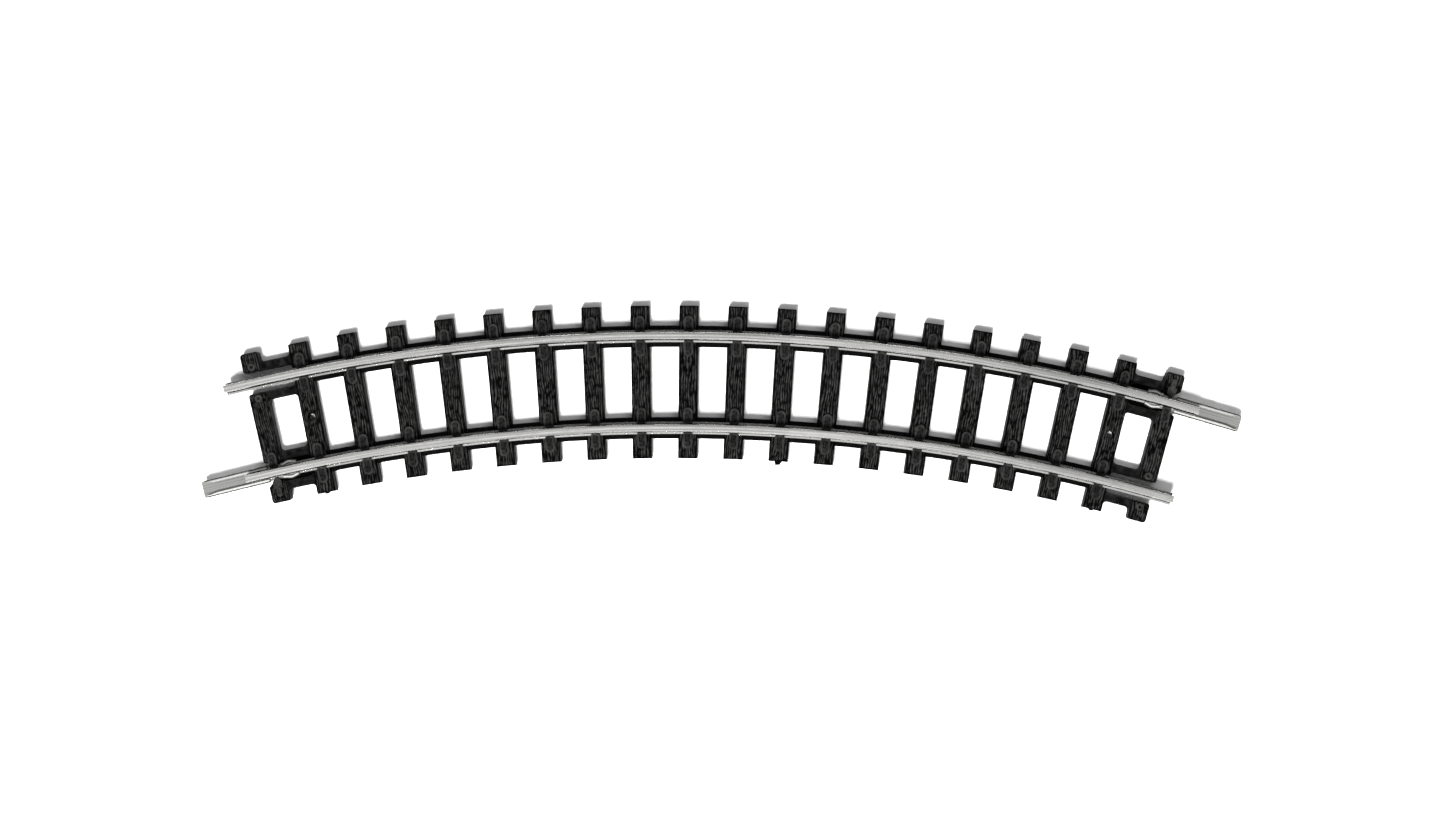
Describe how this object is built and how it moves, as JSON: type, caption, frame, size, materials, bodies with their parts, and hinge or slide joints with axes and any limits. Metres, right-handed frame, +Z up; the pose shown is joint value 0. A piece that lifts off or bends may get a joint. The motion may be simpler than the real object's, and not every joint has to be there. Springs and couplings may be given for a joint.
{
  "type": "model track section",
  "caption": "Curved two-rail model railway track section: black plastic sleeper moulding, clipped metal rails and a folded sheet-metal rail joiner at each end.",
  "frame": {"origin": "middle of the bounding box, at the undersides of the sleepers", "axes": "+Z up from the undersides of the sleepers, +X along the chord of the curve, +Y away from the centre of the curve"},
  "size_m": [0.1106, 0.022, 0.0035],
  "materials": {
    "moulding": "black plastic, wood grain moulded into the tops of the sleepers",
    "rail_metal": "bright drawn nickel silver, fine lines along the rail",
    "joiner_metal": "thin bright sheet, folded and crimped"
  },
  "bodies": {
    "track": {"sleeper_bed": "moulding", "outer_rail": "rail_metal", "inner_rail": "rail_metal"},
    "joiner_on_outer_rail": {"right_joiner": "joiner_metal"},
    "joiner_on_inner_rail": {"left_joiner": "joiner_metal"}
  },
  "joints": [
    {"name": "right_joiner_slide", "type": "slide", "parent": "track", "child": "joiner_on_outer_rail", "axis": [0.9659, -0.2588, 0], "range_m": [-0.00025, 0.00025]},
    {"name": "left_joiner_slide", "type": "slide", "parent": "track", "child": "joiner_on_inner_rail", "axis": [-0.9659, -0.2588, 0], "range_m": [-0.00025, 0.00025]}
  ]
}
